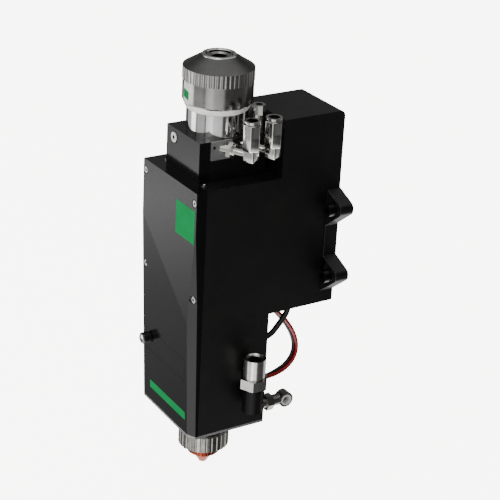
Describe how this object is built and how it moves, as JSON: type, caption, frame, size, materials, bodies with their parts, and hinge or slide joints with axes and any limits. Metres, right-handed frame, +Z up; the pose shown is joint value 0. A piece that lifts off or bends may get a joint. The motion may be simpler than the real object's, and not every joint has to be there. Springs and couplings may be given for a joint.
{
  "type": "laser cutting head",
  "caption": "Laser cutting head: fibre connector and collimator on top, motor-driven focusing lens in a black housing, window drawer, gas inlet, locking ring and nozzle below.",
  "frame": {"origin": "tip of the nozzle on the beam axis", "axes": "+Z up along the beam axis towards the fibre connector, -Y towards the front cover, +X towards the water and gas ports"},
  "size_m": [0.1048, 0.1268, 0.3339],
  "materials": {
    "black_anodised": "black anodised, satin",
    "grey_plate": "clear anodised",
    "black_steel": "black oxide",
    "polished_steel": "polished",
    "nickel": "nickel plated, polished",
    "dark_satin": "dark satin anodised",
    "aluminium": "turned",
    "brass": "turned",
    "copper": "turned copper",
    "ceramic": "glazed ceramic",
    "lens_glass": "polished",
    "rubber": "matt",
    "red_insulation": "smooth wire insulation",
    "black_insulation": "smooth cable sheath"
  },
  "bodies": {
    "housing": {"main_housing": "black_anodised", "front_cover": "black_anodised", "cover_screws": "polished_steel", "bottom_plate": "grey_plate", "rear_cover": "black_anodised", "case_screws": "polished_steel", "upper_window": "lens_glass", "upper_window_ring": "aluminium", "nozzle_holder": "polished_steel", "ceramic_ring": "ceramic", "collimator_block": "black_anodised", "block_front_plate": "black_anodised", "top_screws": "polished_steel", "lens_cell": "aluminium", "collimating_lens": "lens_glass", "lens_cell_ring": "aluminium", "connector_base": "nickel", "fibre_receptacle": "nickel", "fibre_insert": "dark_satin", "port_plate": "grey_plate", "front_water_stem": "nickel", "rear_water_stem": "nickel", "water_plug": "nickel", "gas_block": "black_steel", "gas_fitting": "nickel", "branch_stem": "nickel", "guide_rods": "polished_steel", "screw_bearing": "polished_steel", "motor_shelf": "black_anodised", "focus_motor": "black_steel", "right_bracket": "black_anodised", "left_bracket": "black_anodised", "mounting_bolts": "black_steel", "wire_glands": "rubber", "red_wire": "red_insulation", "black_wire": "black_insulation", "motor_cable": "black_insulation"},
    "focus_carriage": {"lens_carriage": "aluminium", "focus_lens": "lens_glass", "focus_lens_ring": "aluminium", "lead_nut": "brass"},
    "drive_screw": {"lead_screw": "polished_steel", "shaft_coupling": "aluminium"},
    "lock_sleeve": {"connector_sleeve": "nickel", "sleeve_cap": "dark_satin"},
    "drawer": {"window_drawer": "black_anodised", "protective_window": "lens_glass", "window_seal": "rubber"},
    "drawer_thumbscrew": {"drawer_knob": "black_anodised"},
    "nozzle_lock": {"lock_ring": "nickel"},
    "nozzle_tip_piece": {"nozzle": "copper"},
    "side_thumbscrew": {"side_knob": "polished_steel"},
    "centring": {"centring_screw": "polished_steel"},
    "front_swivel": {"front_water_elbow": "nickel"},
    "front_release": {"front_water_collet": "nickel"},
    "rear_swivel": {"rear_water_elbow": "nickel"},
    "rear_release": {"rear_water_collet": "nickel"},
    "gas_release": {"gas_collet": "dark_satin"},
    "branch_swivel": {"branch_elbow": "nickel"},
    "branch_release": {"branch_collet": "dark_satin"}
  },
  "joints": [
    {"name": "focus_slide", "type": "slide", "parent": "housing", "child": "focus_carriage", "axis": [0, 0, 1], "range_m": [-0.01, 0.01]},
    {"name": "drive_screw_turn", "type": "hinge", "parent": "housing", "child": "drive_screw", "pos_m": [0.0124, 0.055, 0.2], "axis": [0, 0, 1], "range_deg": [-725, 725]},
    {"name": "sleeve_turn", "type": "hinge", "parent": "housing", "child": "lock_sleeve", "pos_m": [0, 0, 0.2942], "axis": [0, 0, 1], "range_deg": [0, 60]},
    {"name": "drawer_slide", "type": "slide", "parent": "housing", "child": "drawer", "axis": [0, -1, 0], "range_m": [0, 0.06]},
    {"name": "drawer_knob_turn", "type": "hinge", "parent": "drawer", "child": "drawer_thumbscrew", "pos_m": [-0.0285, -0.0373, 0.1035], "axis": [0, -1, 0], "range_deg": [0, 360]},
    {"name": "nozzle_lock_turn", "type": "hinge", "parent": "housing", "child": "nozzle_lock", "pos_m": [0, 0, 0.024], "axis": [0, 0, 1], "range_deg": [0, 360]},
    {"name": "nozzle_turn", "type": "hinge", "parent": "housing", "child": "nozzle_tip_piece", "pos_m": [0, 0, 0.01], "axis": [0, 0, 1], "range_deg": [0, 360]},
    {"name": "side_knob_turn", "type": "hinge", "parent": "housing", "child": "side_thumbscrew", "pos_m": [-0.04, -0.023, 0.053], "axis": [1, 0, 0], "range_deg": [0, 360]},
    {"name": "centring_turn", "type": "hinge", "parent": "housing", "child": "centring", "pos_m": [-0.0122, -0.0274, 0.2707], "axis": [0, -1, 0], "range_deg": [-180, 180]},
    {"name": "front_elbow_swivel", "type": "hinge", "parent": "housing", "child": "front_swivel", "pos_m": [0.0234, -0.0085, 0.2715], "axis": [0.891, 0.454, 0], "range_deg": [-7, 60]},
    {"name": "front_collet_press", "type": "slide", "parent": "front_swivel", "child": "front_release", "axis": [0, 0, -1], "range_m": [0, 0.0012]},
    {"name": "rear_elbow_swivel", "type": "hinge", "parent": "housing", "child": "rear_swivel", "pos_m": [0.0234, 0.0095, 0.2715], "axis": [0.891, 0.454, 0], "range_deg": [-12, 7]},
    {"name": "rear_collet_press", "type": "slide", "parent": "rear_swivel", "child": "rear_release", "axis": [0, 0, -1], "range_m": [0, 0.0012]},
    {"name": "gas_collet_press", "type": "slide", "parent": "housing", "child": "gas_release", "axis": [0, 0, -1], "range_m": [0, 0.0012]},
    {"name": "branch_elbow_swivel", "type": "hinge", "parent": "housing", "child": "branch_swivel", "pos_m": [0.04895, 0.035, 0.0704], "axis": [0, 1, 0], "range_deg": [-90, 90]},
    {"name": "branch_collet_press", "type": "slide", "parent": "branch_swivel", "child": "branch_release", "axis": [-1, 0, 0], "range_m": [0, 0.0012]}
  ],
  "couplings": [
    {"joint": "drive_screw_turn", "follows": "focus_slide", "rad_per_m": 1256.6}
  ]
}
